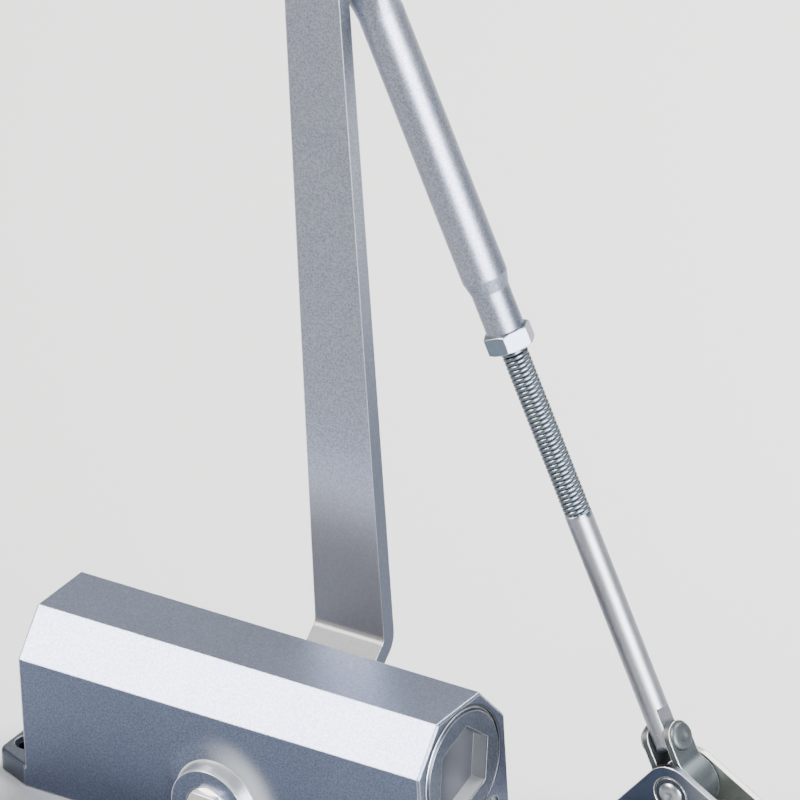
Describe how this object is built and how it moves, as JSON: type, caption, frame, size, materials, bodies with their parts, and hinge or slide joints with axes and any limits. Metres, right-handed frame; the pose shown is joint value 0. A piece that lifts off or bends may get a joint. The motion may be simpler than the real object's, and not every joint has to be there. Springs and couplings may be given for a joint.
{
  "type": "overhead door closer",
  "caption": "Rack and pinion overhead door closer: bevelled cast body with mounting ears, double-lever arm with adjustable threaded forearm, and a U-shaped frame shoe.",
  "frame": {"origin": "centre of the closer body's mounting face", "axes": "+X along the body towards the end with the regulating screws, -Y towards the near pinion boss, +Y towards the arm, +Z away from the door"},
  "size_m": [0.2208, 0.0971, 0.2856],
  "materials": {
    "bush_bronze": "plain bronze",
    "dark_steel": "dark chromate",
    "hard_steel": "ground",
    "seal_rubber": "matt",
    "silver_paint": "fine metallic silver paint",
    "zinc_steel": "zinc plated"
  },
  "bodies": {
    "closer_body": {"housing": "silver_paint", "end_plug_right": "zinc_steel", "end_plug_left": "zinc_steel", "plug_seal_right": "seal_rubber", "plug_seal_left": "seal_rubber", "pinion_bearing_front": "bush_bronze", "pinion_bearing_rear": "bush_bronze", "pinion_seal_front": "seal_rubber", "pinion_seal_rear": "seal_rubber", "gland_nut": "zinc_steel"},
    "closing_valve": {"closing_valve_screw": "zinc_steel", "closing_valve_seal": "seal_rubber"},
    "latching_valve": {"latching_valve_screw": "zinc_steel", "latching_valve_seal": "seal_rubber"},
    "spindle_and_arm": {"pinion_shaft": "hard_steel", "main_arm": "silver_paint", "arm_washer": "zinc_steel", "arm_screw": "zinc_steel", "elbow_pin": "zinc_steel", "elbow_washer": "zinc_steel"},
    "piston_set": {"piston": "hard_steel", "piston_seal": "seal_rubber", "check_ball": "hard_steel", "check_ball_retainer": "zinc_steel", "main_spring": "hard_steel"},
    "forearm": {"forearm_tube": "silver_paint"},
    "lock_nut_body": {"lock_nut": "zinc_steel"},
    "rod": {"adjusting_rod": "zinc_steel"},
    "yoke": {"knuckle": "zinc_steel", "knuckle_rivet": "zinc_steel"},
    "shoe": {"shoe_bracket": "dark_steel", "shoe_pin": "zinc_steel", "shoe_washer": "zinc_steel"}
  },
  "joints": [
    {"name": "pinion_turn", "type": "hinge", "parent": "closer_body", "child": "spindle_and_arm", "pos_m": [-0.0011, 0, 0.0143], "axis": [0, 1, 0], "range_deg": [0, 165], "stiffness_Nm_per_rad": 2.5, "springref_deg": -114.59},
    {"name": "piston_slide", "type": "slide", "parent": "closer_body", "child": "piston_set", "axis": [1, 0, 0], "range_m": [0, 0.0217], "deforming": ["main_spring"]},
    {"name": "closing_valve_turn", "type": "hinge", "parent": "closer_body", "child": "closing_valve", "pos_m": [0.0697, 0.0135, 0.0158], "axis": [1, 0, 0], "range_deg": [-360, 360]},
    {"name": "latching_valve_turn", "type": "hinge", "parent": "closer_body", "child": "latching_valve", "pos_m": [0.0697, -0.0135, 0.0158], "axis": [1, 0, 0], "range_deg": [-360, 360]},
    {"name": "elbow_turn", "type": "hinge", "parent": "spindle_and_arm", "child": "forearm", "pos_m": [-0.0011, 0.05475, 0.2764], "axis": [0, -1, 0], "range_deg": [-8, 150]},
    {"name": "lock_nut_turn", "type": "hinge", "parent": "forearm", "child": "lock_nut_body", "pos_m": [0.05254, 0.0587, 0.14298], "axis": [0.373, 0, -0.9278], "range_deg": [-360, 360]},
    {"name": "rod_adjust", "type": "slide", "parent": "forearm", "child": "rod", "axis": [0.373, 0, -0.9278], "range_m": [-0.045, 0.02]},
    {"name": "knuckle_tilt", "type": "hinge", "parent": "rod", "child": "yoke", "pos_m": [0.10031, 0.0587, 0.02413], "axis": [0.9278, 0, 0.373], "range_deg": [-15, 15]},
    {"name": "shoe_swivel", "type": "hinge", "parent": "yoke", "child": "shoe", "pos_m": [0.10583, 0.0587, 0.0104], "axis": [0, 1, 0], "range_deg": [-90, 55]}
  ],
  "couplings": [
    {"joint": "piston_slide", "follows": "pinion_turn", "m_per_rad": 0.0075}
  ]
}
